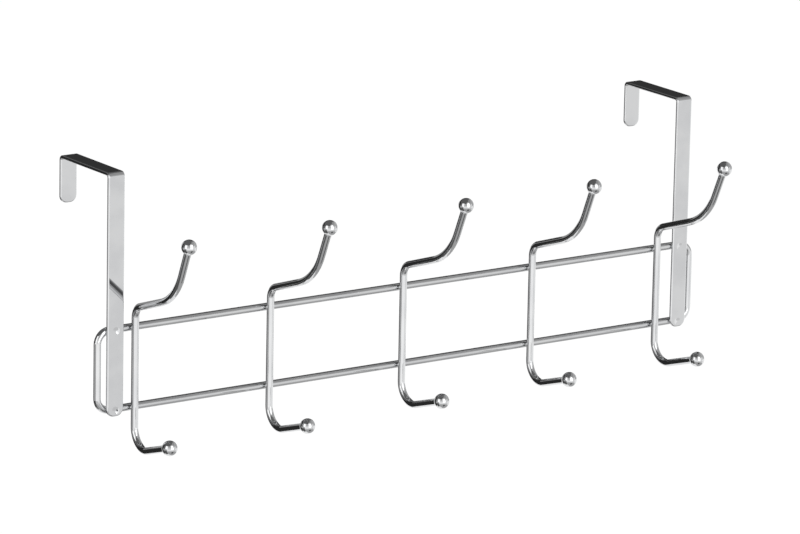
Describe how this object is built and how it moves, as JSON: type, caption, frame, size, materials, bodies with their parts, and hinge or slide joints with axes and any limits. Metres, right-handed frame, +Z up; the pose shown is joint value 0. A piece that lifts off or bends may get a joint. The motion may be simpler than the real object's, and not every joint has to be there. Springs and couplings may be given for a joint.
{
  "type": "over door hook rack",
  "caption": "Chrome wire rack with a row of ball-ended double hooks, hung over a door's top edge by flat bent straps.",
  "frame": {"origin": "middle of the door's top front edge: the rails' backs touch the door's face, the straps' spans its top", "axes": "+X along the rack, +Y into the door, +Z up"},
  "size_m": [0.384, 0.1084, 0.1485],
  "materials": {
    "chrome_wire": "bright plated round wire",
    "chrome_strap": "bright plated flat strap",
    "chrome_ball": "bright plated ball"
  },
  "bodies": {
    "root": {"wire_frame": "chrome_wire", "left_strap": "chrome_strap", "right_strap": "chrome_strap", "hook_1": "chrome_wire", "hook_2": "chrome_wire", "hook_3": "chrome_wire", "hook_4": "chrome_wire", "hook_5": "chrome_wire", "upper_ball_1": "chrome_ball", "upper_ball_2": "chrome_ball", "upper_ball_3": "chrome_ball", "upper_ball_4": "chrome_ball", "upper_ball_5": "chrome_ball", "lower_ball_1": "chrome_ball", "lower_ball_2": "chrome_ball", "lower_ball_3": "chrome_ball", "lower_ball_4": "chrome_ball", "lower_ball_5": "chrome_ball"}
  },
  "joints": []
}
